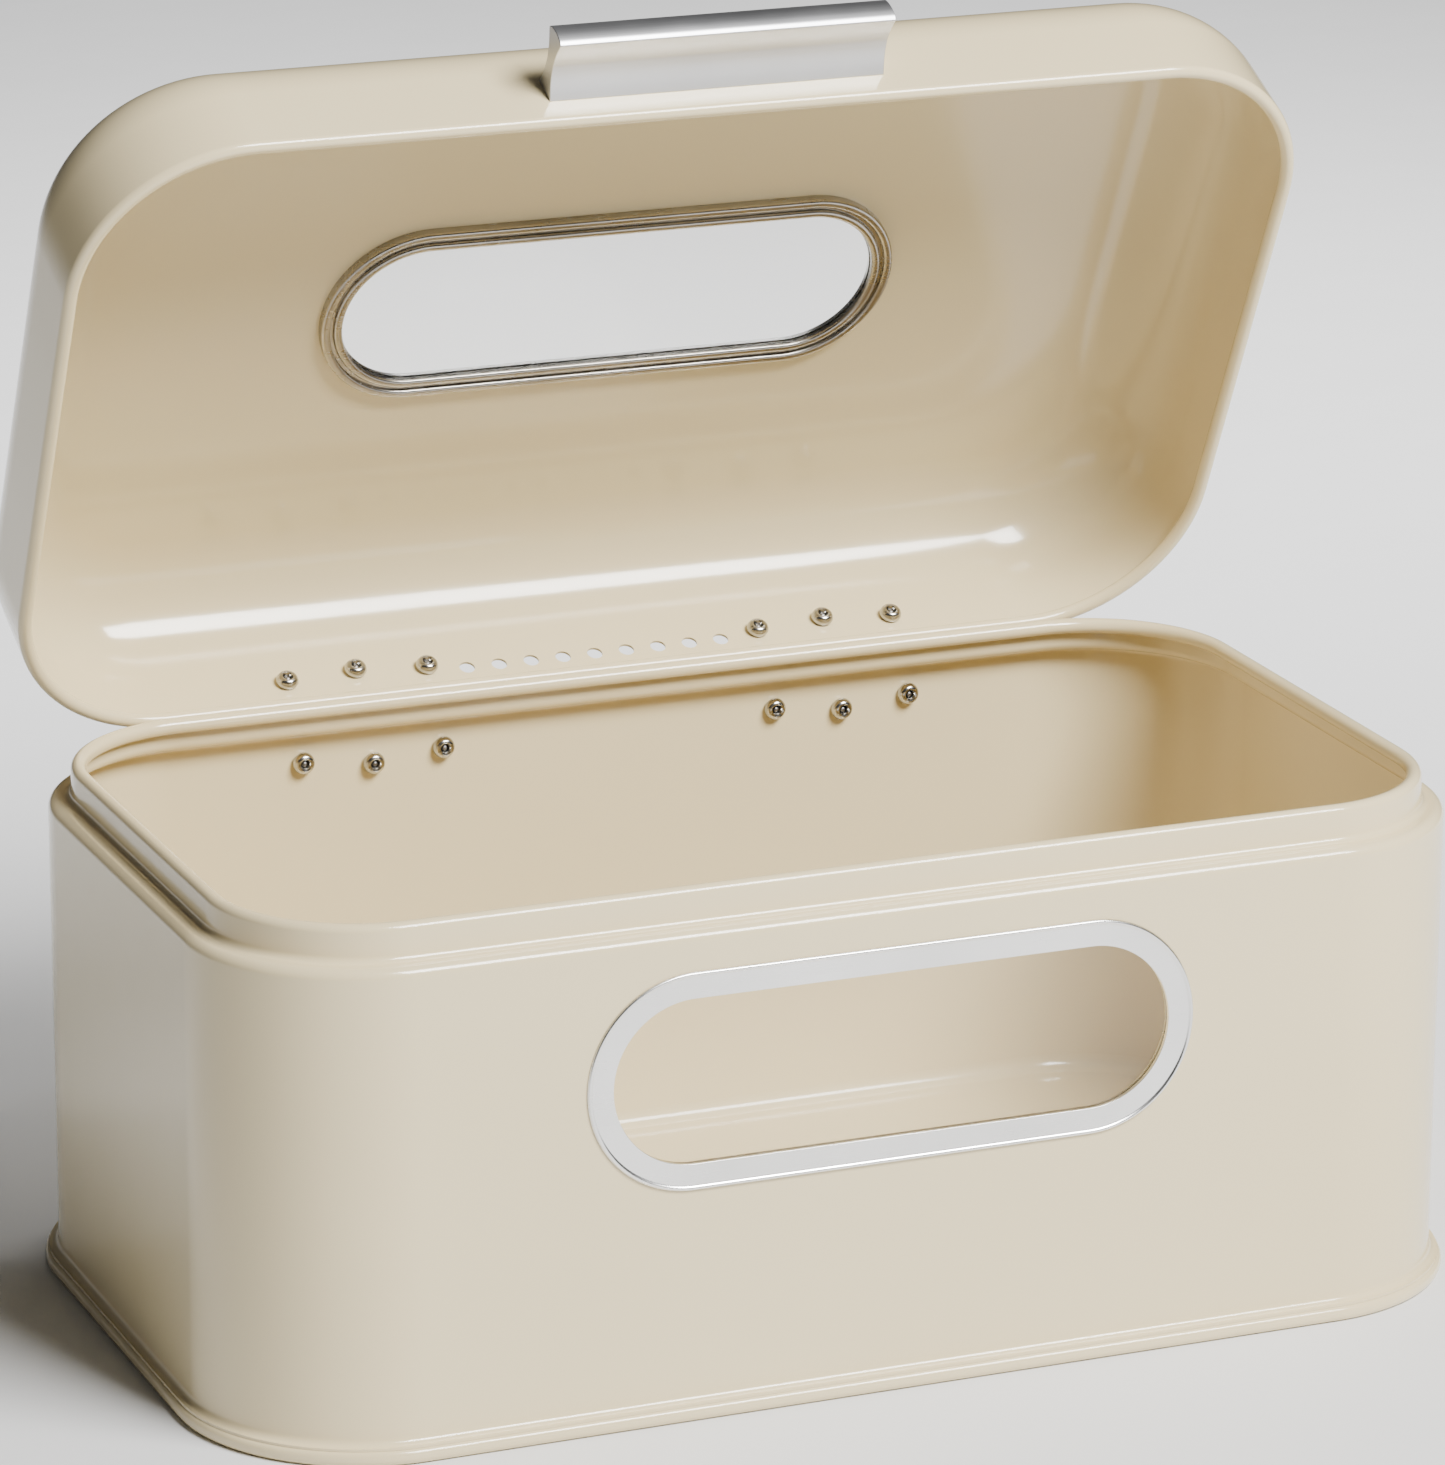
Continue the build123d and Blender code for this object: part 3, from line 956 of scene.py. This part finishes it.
@dataclass
class BoxShell(Assembly):
    """The pressed body: flange, wall, shoulder, neck and rolled rim, and the pan it stands on."""

    flange_reach: float = 3.0 * MM
    flare: float = 2.4 * MM
    shoulder_radius: float = 3.5 * MM
    neck_inset: float = 7.4 * MM
    neck_radius: float = 2.4 * MM
    rim_radius: float = 2.55 * MM
    seam_height: float = 5.0 * MM
    seam_reach: float = 4.3 * MM
    seam_bottom_radius: float = 2.4 * MM
    seam_top_radius: float = 1.9 * MM
    seam_slope: float = 3.2 * MM
    floor_height: float = 3.2 * MM
    floor_overlap: float = 2.0 * MM
    cove: float = 5.2 * MM
    window_height: float = 109.8 * MM

    def build(self) -> None:
        """Build and dress the shell and the pan."""
        self.build_shell()
        self.build_pan()

    def build_shell(self) -> None:
        """Sweep the folded strip round the walls and cut the front window."""
        gauge, enamel = self.gauge, self.finishes.enamel
        strip = Outline([(self.flange_reach, self.seam_height + gauge.sheet)], math.pi)
        strip.ahead(self.flange_reach - self.flare).bend(self.flare, -90)
        strip.ahead(gauge.shoulder - self.shoulder_radius - strip.points[-1][1])
        strip.bend(self.shoulder_radius, 90)
        strip.ahead(self.neck_inset - self.shoulder_radius - self.neck_radius).bend(self.neck_radius, -90)
        strip.ahead(gauge.rim - self.rim_radius - strip.points[-1][1]).bend(self.rim_radius, 270)
        outline = strip.thick(gauge.sheet)
        mesh = self.loop.sweep("body_shell_look", outline, gauge.size, gauge.corner, enamel)
        opening = [(x, z + self.window_height) for x, z in stadium(*WINDOW_CUT)]
        front = -gauge.back
        cutter = prism("front_cut", opening, front - CUTTER_REACH, front + CUTTER_REACH, "Y", enamel)
        add_piece(cut(mesh, [cutter]), Body.BOX, "body_shell")

    def build_pan(self) -> None:
        """Sweep the seam bead and the raised floor, closed across the middle."""
        gauge = self.gauge
        middle = self.floor_overlap - gauge.corner
        under, inner = self.floor_height - gauge.sheet, -gauge.sheet
        bead = Outline([(middle, under), (inner - self.seam_slope, under), (inner, 0.0)], 0.0)
        bead.ahead(self.seam_reach - self.seam_bottom_radius - inner).bend(self.seam_bottom_radius, 90)
        bead.ahead(self.seam_height - self.seam_bottom_radius - self.seam_top_radius)
        bead.bend(self.seam_top_radius, 90)
        bead.points += [(inner, self.seam_height), (inner, self.floor_height + self.cove)]
        cove = Outline([bead.points[-1]], -math.pi / 2).bend(self.cove, -90)
        bead.points += [*cove.points[1:], (middle, self.floor_height)]
        mesh = self.loop.sweep(
            "base_pan_look", bead.points, gauge.size, gauge.corner, self.finishes.enamel, closed=False
        )
        add_piece(mesh, Body.BOX, "base_pan")


@dataclass
class Window(Assembly):
    """One oblong window: outer frame, clear pane and backing ring.

    It is built lying flat with its outer face up, and then moved to its wall.
    """

    prefix: str
    body: Body
    place: Matrix
    length: float = 185.4 * MM
    height: float = 53.2 * MM
    flange: float = 8.5 * MM
    flange_thickness: float = 1.0 * MM
    flange_drop: float = 0.62 * MM
    inner_edge_radius: float = 0.12 * MM
    roll_reach: float = 1.87 * MM
    lip: float = 0.8 * MM
    pane_thickness: float = 1.2 * MM
    pane_lap: float = 4.3 * MM
    pane_clearance: float = 0.1 * MM
    bead: float = 3.1 * MM
    rise: float = 2.2 * MM
    outer_bead_radius: float = 1.2 * MM
    inner_bead_radius: float = 1.35 * MM
    bead_inset: float = 0.2 * MM
    groove_depth: float = 0.8 * MM

    def ring(self, name: str, outline: Sequence[Point], finish: Material) -> None:
        """Sweep an outline round the opening and dress it.

        Args:
            name: The end of the node's name.
            outline: The section, X outward from the opening's edge and Y out of the wall.
            finish: The material.
        """
        node = f"{self.prefix}_{name}"
        corner = self.height / 2 - 0.01 * MM
        size = (self.length, self.height)
        mesh = self.loop.sweep(node, outline, size, corner, finish, steps=36)
        add_piece(mesh, self.body, node, self.place)

    def build(self) -> None:
        """Build and dress the three pieces."""
        sheet = self.gauge.sheet
        self.build_frame(sheet)
        self.build_pane(sheet)
        self.build_backing(sheet)

    def build_frame(self, sheet: float) -> None:
        """Flat flange with a rolled outer edge, and a lip through the sheet."""
        rim = Outline([(0.0, -sheet)], math.pi / 2, steps=5)
        rim.ahead(sheet + self.flange_thickness - self.flange_drop).bend(self.inner_edge_radius, -90)
        rim.ahead(self.flange - self.roll_reach)
        for radius, degrees in FRAME_ROLL:
            rim.bend(radius * MM, degrees)
        while rim.points[-1][0] > self.flange:
            rim.points.pop()
        rim.points += section(FRAME_EDGE, self.flange)
        rim.points += [(self.lip, 0.0), (self.lip, -sheet)]
        self.ring("frame", rim.points, self.finishes.trim)

    def build_pane(self, sheet: float) -> None:
        """Flat clear sheet behind the wall."""
        node = f"{self.prefix}_pane"
        outline = stadium(self.length + 2 * self.pane_lap, self.height + 2 * self.pane_lap)
        mesh = prism(node, outline, -sheet - self.pane_thickness, -sheet, "Z", self.finishes.pane)
        add_piece(mesh, self.body, node, self.place, weighted=False)

    def build_backing(self, sheet: float) -> None:
        """Ring with a round bead on the sheet and a round bead on the pane's edge, joined by a web."""
        base = -sheet - self.pane_thickness
        pane_edge = self.pane_lap + self.pane_clearance
        outer, inner = self.outer_bead_radius, self.inner_bead_radius
        ring = Outline([(pane_edge + self.bead, -sheet)], -math.pi / 2, steps=6)
        ring.ahead(self.pane_thickness + self.rise - outer).bend(outer, -90).ahead(self.bead - 2 * outer)
        ring.bend(outer, -90)
        groove, web_end = base - self.groove_depth, self.bead + self.bead_inset
        bead = Outline([(web_end, base - self.rise + inner)], -math.pi / 2, steps=6)
        bead.bend(inner, -90).ahead(self.bead - 2 * inner).bend(inner, -90)
        ring.points += [(pane_edge, groove), (web_end, groove), *bead.points]
        ring.points += [(self.bead_inset, base), (pane_edge, base), (pane_edge, -sheet)]
        self.ring("backing_ring", ring.points, self.finishes.ring)


@dataclass
class Lid(Assembly):
    """The pressed lid with its rolled rim, window cut and vent holes."""

    edge_radius: float = 32.06 * MM
    edge_steps: int = 20
    rim_radius: float = 2.3 * MM
    top_overlap: float = 4.0 * MM
    vent_count: int = 9
    vent_pitch: float = 11.4 * MM
    vent_radius: float = 2.65 * MM
    vent_rise: float = 12.6 * MM
    plug_reach: float = 2.0 * MM

    def build(self) -> None:
        """Sweep the pressed section, close the top and cut the holes."""
        gauge, enamel = self.gauge, self.finishes.enamel
        hem = Outline([(-self.rim_radius, gauge.lid_bottom + 2 * self.rim_radius)], math.pi)
        hem.bend(self.rim_radius, 270)
        hem.ahead(gauge.lid_height - self.edge_radius - self.rim_radius)
        hem.steps = self.edge_steps
        hem.bend(self.edge_radius, 90).ahead(gauge.corner - self.edge_radius - self.top_overlap)
        outline = hem.thick(gauge.sheet)
        middle = len(hem.points)
        outline = outline[middle:] + outline[:middle]
        mesh = self.loop.sweep(
            "lid_shell_look", outline, gauge.size, gauge.corner, enamel, closed=False
        )
        low, high = gauge.lid_top - CUTTER_REACH, gauge.lid_top + CUTTER_REACH
        cutter = prism("lid_cut", stadium(*WINDOW_CUT), low, high, "Z", enamel)
        mesh = cut(mesh, [cutter, self.vent_cutters()])
        add_piece(mesh, Body.LID, "lid_shell", gauge.opened)

    def vent_cutters(self) -> Mesh:
        """The row of round plugs that leave the vent holes."""
        gauge, reach, radius = self.gauge, self.plug_reach, self.vent_radius
        outline = [(0.0, -reach), (radius, -reach), (radius, reach), (0.0, reach)]
        plug = turned("vent_plug", outline, self.finishes.enamel)
        left = -self.vent_pitch * (self.vent_count - 1) / 2
        first = (left, gauge.back - gauge.sheet / 2, gauge.lid_bottom + self.vent_rise)
        return self.row.repeat("vent_plugs", plug, self.vent_count, first, self.vent_pitch)


@dataclass
class Handle(Assembly):
    """The extruded bar on the lid's front wall and the two screws that hold it."""

    length: float = 113.0 * MM
    base: float = 10.8 * MM
    reach: float = 21.44 * MM
    lip: float = 0.5 * MM
    crown_start: float = 0.3 * MM
    crown_rise: float = 1.2 * MM
    crown_margin: float = 1.1 * MM
    waist: float = 2.2 * MM
    waist_reach: float = 10.4 * MM
    soft: float = 8.0 * MM
    edge_bevel: float = 0.22 * MM
    rise: float = 15.0 * MM
    screw_pitch: float = 80.0 * MM
    steps: int = 12

    def flank(self, out: float, run: float) -> Point:
        """A point of the upper flank, which dips softly to the waist.

        Args:
            out: How far the point is from the wall.
            run: From the waist to this side's end.

        Returns:
            The point as (outward, height over the bar's middle).
        """
        slope = (self.base - self.waist) / 2 / run
        gap = abs(out - self.waist_reach)
        rounding = max(0.0, self.soft - gap) ** 2 / (2 * self.soft)
        return out, self.waist / 2 + slope * (gap + rounding)

    def outline(self) -> list[Point]:
        """The extrusion's outline as (outward, height) from the wall and its own middle."""
        half, run = self.base / 2, self.reach - self.waist_reach
        shares = [index / self.steps for index in range(self.steps + 1)]
        upper = [self.flank(self.waist_reach * share, self.waist_reach) for share in shares]
        upper += [self.flank(self.waist_reach + (run - self.lip) * share, run) for share in shares[1:]]
        upper += section(HANDLE_NOSE, self.reach, half)
        crest = []
        for share in shares:
            height = (half - self.crown_margin) * (1 - 2 * share)
            rise = self.crown_rise * (1 - (height / half) ** 2)
            crest.append((self.reach + self.crown_start + rise, height))
        return upper + crest + [(out, -height) for out, height in reversed(upper)]

    def build(self) -> None:
        """Build and dress the bar, and the pan-head screws inside the lid."""
        gauge, finishes = self.gauge, self.finishes
        height = gauge.lid_bottom + self.rise
        outline = [(-gauge.back - out, height + z) for out, z in self.outline()]
        half = self.length / 2
        bar = prism("lid_handle_look", outline, -half, half, "X", finishes.handle)
        add_piece(bar, Body.LID, "lid_handle", gauge.opened, bevel=self.edge_bevel)
        screw = turned("screw", section(SCREW), finishes.hinge)
        first = (-self.screw_pitch / 2, -gauge.back + gauge.sheet, height)
        mesh = self.row.repeat("lid_handle_screws_look", screw, 2, first, self.screw_pitch)
        add_piece(mesh, Body.LID, "lid_handle_screws", gauge.opened)


@dataclass
class Hinge(Assembly):
    """One hinge: two leaves, a headed pin and three blind rivets in each leaf."""

    side: Side
    centre: float = 84.0 * MM
    width: float = 62.0 * MM
    leaf: float = 1.2 * MM
    leaf_margin: float = 8.5 * MM
    leaf_corner: float = 5.0 * MM
    leaf_bevel: float = 0.15 * MM
    corner_steps: int = 8
    knuckle_radius: float = 3.4 * MM
    knuckle_gap: float = 0.3 * MM
    knuckle_length: float = 15.0 * MM
    curl_angle: float = math.radians(318.0)
    curl_steps: int = 30
    curl_overlap: float = 0.2 * MM
    wall_clearance: float = 0.005 * MM
    pin_radius: float = 1.8 * MM
    pin_clearance: float = 0.05 * MM
    pin_overhang: float = 0.2 * MM
    rivet_pitch: float = 24.5 * MM
    rivet_count: int = 3
    rivet_sides: int = 28
    tail_length: float = 3.2 * MM
    # Body, height of the outer rivets over the pin, and how much further the middle one stands.
    rows: tuple[tuple[Body, float, float], ...] = (
        (Body.BOX, -12.8 * MM, -2.7 * MM),
        (Body.LID, 13.7 * MM, 2.0 * MM),
    )

    @property
    def middle(self) -> float:
        """X of the hinge's middle."""
        return self.side.value * self.centre

    @property
    def label(self) -> str:
        """The side's name in node names."""
        return self.side.name.lower()

    def build(self) -> None:
        """Build and dress the whole hinge."""
        half, length = self.width / 2, self.knuckle_length
        inner = length + self.knuckle_gap
        ends = ((-half, length), (half - length, length))
        middle = ((-half + inner, self.width - 2 * inner),)
        moves = (None, self.gauge.opened)
        for (body, rise, stagger), spans, move in zip(self.rows, (ends, middle), moves):
            word = body.value.replace("box", "body")
            mesh = self.leaf_mesh(rise, spans)
            node = f"{self.label}_hinge_{word}_leaf"
            add_piece(mesh, body, node, move, bevel=self.leaf_bevel)
            for kind, single, slot in self.rivet_meshes():
                node = f"{self.label}_{word}_{kind}"
                first = (self.middle - self.rivet_pitch, 0.0, self.gauge.hinge.z + rise)
                count, pitch = self.rivet_count, self.rivet_pitch
                mesh = self.row.repeat(f"{node}_look", single, count, first, pitch, stagger)
                add_piece(mesh, body, node, move)
        self.build_pin()

    def leaf_mesh(self, rise: float, spans: Sequence[Point]) -> Mesh:
        """A stamped plate with rounded corners, curled round the pin at its knuckles.

        Args:
            rise: Height of the outer rivets over the pin, negative below.
            spans: Start and length of each knuckle, from the hinge's middle.

        Returns:
            The mesh of the leaf.
        """
        gauge, finish, soft = self.gauge, self.finishes.hinge, self.leaf_corner
        way = math.copysign(1.0, rise)
        start = self.knuckle_radius + self.knuckle_gap
        end, half = abs(rise) + self.leaf_margin, self.width / 2
        outline = [(-half, start), (half, start)]
        for sign in (1, -1):
            for index in range(self.corner_steps + 1):
                share = index / self.corner_steps
                angle = math.pi / 2 * (share if sign > 0 else 1 - share)
                across = sign * (half - soft + soft * math.cos(angle))
                outline.append((across, end - soft + soft * math.sin(angle)))
        outline = [(self.middle + x, gauge.hinge.z + way * z) for x, z in outline]
        parts = [prism("plate", outline, gauge.back, gauge.back + self.leaf, "Y", finish)]
        for begin, length in spans:
            low = self.middle + begin
            parts.append(prism("knuckle", self.curl(way, start), low, low + length, "X", finish))

        def build(work: BMesh) -> None:
            """Read every part in."""
            for part in parts:
                work.from_mesh(part)

        return mesh_from(f"{self.label}_leaf", build, finish)

    def curl(self, way: float, start: float) -> list[Point]:
        """The section of a knuckle: the plate's strip curled round the pin, as (y, z).

        Args:
            way: 1 for a plate above the pin, -1 for one below.
            start: From the pin's centre to the plate's edge.

        Returns:
            The closed outline.
        """
        gauge, bore = self.gauge, self.pin_radius + self.pin_clearance
        y, z = gauge.hinge.y, gauge.hinge.z
        angles = [self.curl_angle * step / self.curl_steps for step in range(self.curl_steps + 1)]
        ring = [
            (y - radius * math.cos(angle), z - way * radius * math.sin(angle))
            for radius, order in ((self.knuckle_radius, angles), (bore, angles[::-1]))
            for angle in order
        ]
        root = z + way * (start + self.curl_overlap)
        face, outside = gauge.back + self.wall_clearance, gauge.back + self.leaf
        return [(face, root), (face, z), *ring[:-1], (outside, z + way * bore), (outside, root)]

    def build_pin(self) -> None:
        """A headed pin through the knuckles."""
        half = self.width / 2 + self.pin_overhang
        outline = section(PIN_HEAD, 0.0, -half)
        outline += [(radius, -y) for radius, y in reversed(outline)]
        mesh = turned(f"{self.label}_pin", outline, self.finishes.hinge)
        place = Matrix.Translation((self.middle, self.gauge.hinge.y, self.gauge.hinge.z))
        mesh.transform(place @ Matrix.Rotation(math.pi / 2, 4, "Z"))
        add_piece(mesh, Body.BOX, f"{self.label}_hinge_pin")

    def rivet_meshes(self) -> list[tuple[str, Mesh, str]]:
        """One blind rivet and the stub of its mandrel.

        Returns:
            For each, the end of its node's name, its mesh and a material slot name that nothing uses.
        """
        gauge, finishes = self.gauge, self.finishes
        head = gauge.back + self.leaf
        end = gauge.back - gauge.sheet - self.tail_length
        rivet = section(RIVET_HEAD, 0.0, head) + section(RIVET_TAIL, 0.0, end)
        stub = section(STUB_TIP, 0.0, end) + section(STUB_ROOT, 0.0, head)
        return [
            ("rivets", turned("rivet", rivet, finishes.rivet, self.rivet_sides), "rivet_steel"),
            ("rivet_mandrels", turned("stub", stub, finishes.mandrel, self.rivet_sides), "mandrel_steel"),
        ]


# ---- stage


@dataclass(frozen=True)
class Softbox:
    """A soft rectangular light: where it hangs, what it faces, its size and its power in watts."""

    name: str
    place: Spot
    target: Spot
    size: Point
    power: float

    def hang(self) -> None:
        """Put the light in the scene."""
        data = bpy.data.lights.new(self.name, "AREA")
        data.shape = "RECTANGLE"
        data.size, data.size_y = self.size
        data.energy = self.power
        way = Vector(self.target) - Vector(self.place)
        turn = way.to_track_quat("-Z", "Y").to_matrix().to_4x4()
        link_object(self.name, data).matrix_world = Matrix.Translation(self.place) @ turn


@dataclass
class Studio(Assembly):
    """Floor, lights and camera."""

    lens: float = 174.71
    turn: float = -22.41
    tilt: float = 17.183
    roll: float = 0.274
    target: Point = (0.00675, -0.17036)
    distance: float = 2.3165
    clip_end: float = 30.0
    floor_reach: float = 7.0
    floor_depth: float = 0.05
    air_strength: float = 0.06
    lights: tuple[Softbox, ...] = (
        Softbox("key", (0.68, -1.38, 1.83), (0.0, 0.0, 0.15), (1.1, 0.8), 134.0),
        Softbox("far_floor", (0.5, 0.6, 1.3), (0.65, 2.3, 0.35), (1.1, 0.4), 54.0),
    )

    def build(self) -> None:
        """Set the whole stage."""
        self.build_floor()
        self.build_lights()
        self.build_camera()

    def build_floor(self) -> None:
        """A wide pale floor."""
        reach = self.floor_reach
        corners = [(-reach, -reach), (reach, -reach), (reach, reach), (-reach, reach)]
        mesh = prism("floor", corners, -self.floor_depth, 0.0, "Z", self.finishes.floor)
        smooth(mesh)
        link_object("floor", mesh)

    def build_lights(self) -> None:
        """Faint even air, a large soft light from the front right and one on the floor behind."""
        world = bpy.data.worlds.new("studio_air")
        world.use_nodes = True
        background = world.node_tree.nodes["Background"]
        background.inputs["Color"].default_value = (1.0, 1.0, 1.0, 1.0)
        background.inputs["Strength"].default_value = self.air_strength
        bpy.context.scene.world = world
        for light in self.lights:
            light.hang()

    def build_camera(self) -> None:
        """A long lens from the front left, a little above."""
        turn, tilt, roll = (math.radians(angle) for angle in (self.turn, self.tilt, self.roll))
        flat = math.cos(tilt)
        back = Vector((math.sin(turn) * flat, -math.cos(turn) * flat, math.sin(tilt)))
        level = Vector((0.0, 0.0, 1.0)).cross(back).normalized()
        upright = back.cross(level)
        across = math.cos(roll) * level + math.sin(roll) * upright
        upward = math.cos(roll) * upright - math.sin(roll) * level
        axes = Matrix((across, upward, back)).transposed()
        place = axes @ Vector((-self.target[0], -self.target[1], self.distance))
        data = bpy.data.cameras.new("view")
        data.lens = self.lens
        data.clip_end = self.clip_end
        camera = link_object("view", data)
        camera.matrix_world = Matrix.Translation(place) @ axes.to_4x4()
        bpy.context.scene.camera = camera


def main() -> None:
    """Build every sub-assembly in order, then the stage."""
    logging.basicConfig(level=logging.INFO, format="%(message)s")
    gauge = Gauge()
    shared = (gauge, Finishes(), LoopSweep(), RowOfPieces())
    BoxShell(*shared).build()
    upright = Matrix.Rotation(math.pi / 2, 4, "X")
    front = Matrix.Translation((0.0, -gauge.back, BoxShell.window_height)) @ upright
    Window(*shared, "front_window", Body.BOX, front).build()
    Lid(*shared).build()
    top = gauge.opened @ Matrix.Translation((0.0, 0.0, gauge.lid_top))
    Window(*shared, "lid_window", Body.LID, top).build()
    Handle(*shared).build()
    for side in Side:
        Hinge(*shared, side).build()
    Studio(*shared).build()


if __name__ == "__main__":
    main()
